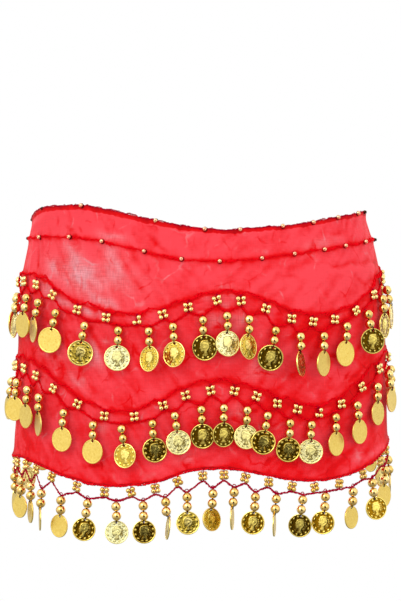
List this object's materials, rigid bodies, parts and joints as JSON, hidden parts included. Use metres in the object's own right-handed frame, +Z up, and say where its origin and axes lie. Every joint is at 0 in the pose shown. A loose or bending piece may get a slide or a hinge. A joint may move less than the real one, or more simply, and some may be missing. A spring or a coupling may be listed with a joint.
{
  "type": "belly dance hip scarf",
  "caption": "Sheer red wrap tied round the hips, with rolled edges, a knot and tails behind, and rows of bead clusters and hanging gold coins.",
  "frame": {"origin": "centre of the waist opening at the height of the front waist edge, where the hips hold the wrap", "axes": "+Z up along the wearer's height, front faces -Y, +X to the right seen from the front"},
  "size_m": [0.3571, 0.2551, 0.3015],
  "materials": {
    "chiffon": "sheer red chiffon, satin sheen",
    "tie": "gathered red chiffon, several layers thick",
    "gold": "gold-coloured stamped coins and beads, polished"
  },
  "bodies": {
    "root": {"wrap_front": "chiffon", "wrap_end_left": "chiffon", "wrap_end_right": "chiffon", "knot": "tie", "tail_left": "tie", "tail_right": "tie", "coin_row_1": "gold", "coin_row_2": "gold", "coin_row_hem": "gold"}
  },
  "joints": []
}
